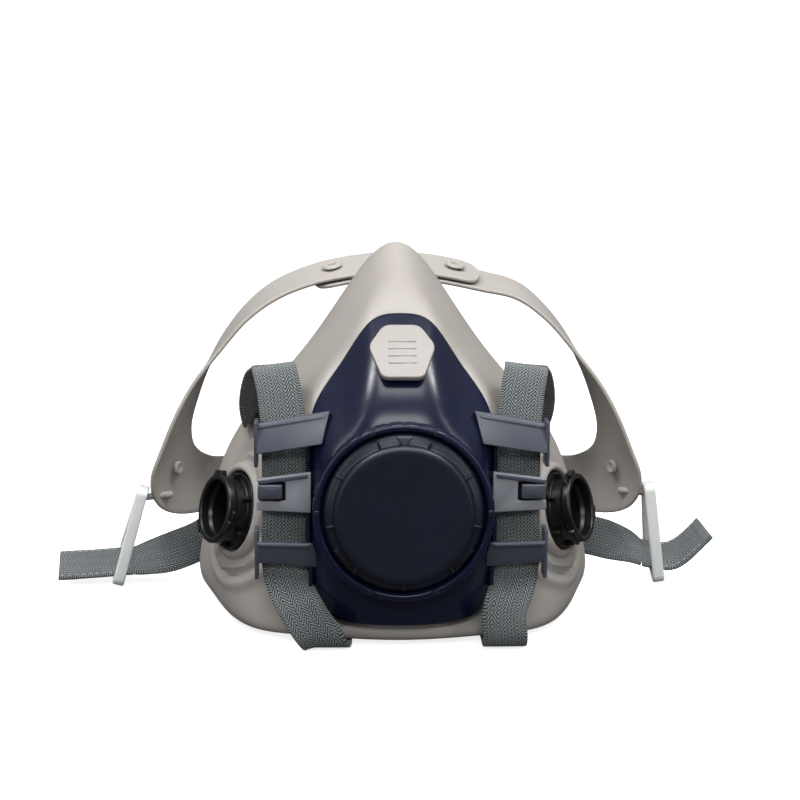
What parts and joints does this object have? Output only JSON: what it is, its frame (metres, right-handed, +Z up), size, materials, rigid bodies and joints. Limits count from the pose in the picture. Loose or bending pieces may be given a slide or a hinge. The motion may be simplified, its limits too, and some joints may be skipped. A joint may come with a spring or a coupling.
{
  "type": "half-face respirator",
  "caption": "Half-face respirator with a soft facepiece, rigid front yoke, round exhalation cover, side bayonet ports, webbing straps and a moulded head cradle.",
  "frame": {"origin": "middle of the footprint on the surface it stands on, under the mask", "axes": "+X across the mask towards the wearer's left, -Y out of the front, +Z up"},
  "size_m": [0.2459, 0.1698, 0.131],
  "materials": {
    "silicone": "warm grey moulded silicone, satin",
    "yoke_plastic": "dark blue-grey moulded shell, semi-gloss",
    "badge_plastic": "light warm grey, fine satin",
    "cover_plastic": "dark blue-grey, semi-gloss",
    "black_plastic": "black moulded plastic, satin",
    "valve_silicone": "thin pale silicone",
    "gasket_rubber": "black rubber",
    "cradle_plastic": "light grey flexible plastic, satin",
    "webbing": "grey-green elastic twill webbing",
    "ring_plastic": "milky translucent plastic"
  },
  "bodies": {
    "mask": {"facepiece": "silicone", "front_yoke": "yoke_plastic", "size_badge": "badge_plastic", "exhalation_housing": "cover_plastic", "exhalation_valve_seat": "black_plastic", "facepiece_clamp_ring": "black_plastic", "inhalation_port_left": "black_plastic", "inhalation_port_right": "black_plastic", "port_gasket_left": "gasket_rubber", "port_gasket_right": "gasket_rubber", "port_retainer_left": "black_plastic", "port_retainer_right": "black_plastic", "strap_front_left": "webbing", "strap_front_right": "webbing", "neck_clasp_keeper": "black_plastic"},
    "valve_cover": {"exhalation_cover": "cover_plastic"},
    "exhalation_flap": {"exhalation_valve_flap": "valve_silicone"},
    "inhalation_flap_left": {"inhalation_valve_flap_left": "valve_silicone"},
    "inhalation_flap_right": {"inhalation_valve_flap_right": "valve_silicone"},
    "lock_tab_left": {"strap_lock_tab_left": "yoke_plastic"},
    "lock_tab_right": {"strap_lock_tab_right": "yoke_plastic"},
    "neck_hook": {"neck_clasp_hook": "black_plastic", "strap_neck_left": "webbing"},
    "harness": {"head_cradle": "cradle_plastic", "cradle_snap_stud_1": "cradle_plastic", "cradle_snap_stud_2": "cradle_plastic", "strap_rear_left": "webbing", "strap_rear_right": "webbing"},
    "ring_left": {"strap_ring_left": "ring_plastic", "strap_tail_left": "webbing"},
    "ring_right": {"strap_ring_right": "ring_plastic", "strap_tail_right": "webbing"}
  },
  "joints": [
    {"name": "cover_twist", "type": "hinge", "parent": "mask", "child": "valve_cover", "pos_m": [0.0026, -0.0849, 0.0499], "axis": [0, -1, 0], "range_deg": [0, 30]},
    {"name": "exhalation_flap_lift", "type": "slide", "parent": "mask", "child": "exhalation_flap", "axis": [0, -1, 0], "range_m": [0, 0.0015], "stiffness_N_per_m": 20, "springref_m": -0.0005},
    {"name": "inhalation_flap_lift_left", "type": "slide", "parent": "mask", "child": "inhalation_flap_left", "axis": [0.866, 0.4508, -0.2164], "range_m": [0, 0.0015], "stiffness_N_per_m": 20, "springref_m": -0.0005},
    {"name": "inhalation_flap_lift_right", "type": "slide", "parent": "mask", "child": "inhalation_flap_right", "axis": [-0.866, 0.4508, -0.2164], "range_m": [0, 0.0015], "stiffness_N_per_m": 20, "springref_m": -0.0005},
    {"name": "lock_tab_press_left", "type": "hinge", "parent": "mask", "child": "lock_tab_left", "pos_m": [-0.044, -0.0662, 0.0543], "axis": [0, 0, 1], "range_deg": [0, 8], "stiffness_Nm_per_rad": 0.02},
    {"name": "lock_tab_press_right", "type": "hinge", "parent": "mask", "child": "lock_tab_right", "pos_m": [0.0492, -0.0662, 0.0543], "axis": [0, 0, -1], "range_deg": [0, 8], "stiffness_Nm_per_rad": 0.02},
    {"name": "neck_clasp_release", "type": "slide", "parent": "mask", "child": "neck_hook", "axis": [-1, 0, 0], "range_m": [0, 0.012]},
    {"name": "harness_swing", "type": "hinge", "parent": "mask", "child": "harness", "pos_m": [0.0026, -0.0449, 0.0933], "axis": [1, 0, 0], "range_deg": [0, 70]},
    {"name": "ring_swing_left", "type": "hinge", "parent": "harness", "child": "ring_left", "pos_m": [-0.0892, 0.0131, 0.0338], "axis": [1, 0, 0], "range_deg": [-15, 30]},
    {"name": "ring_swing_right", "type": "hinge", "parent": "harness", "child": "ring_right", "pos_m": [0.098, 0.0141, 0.0348], "axis": [1, 0, 0], "range_deg": [-15, 30]}
  ]
}
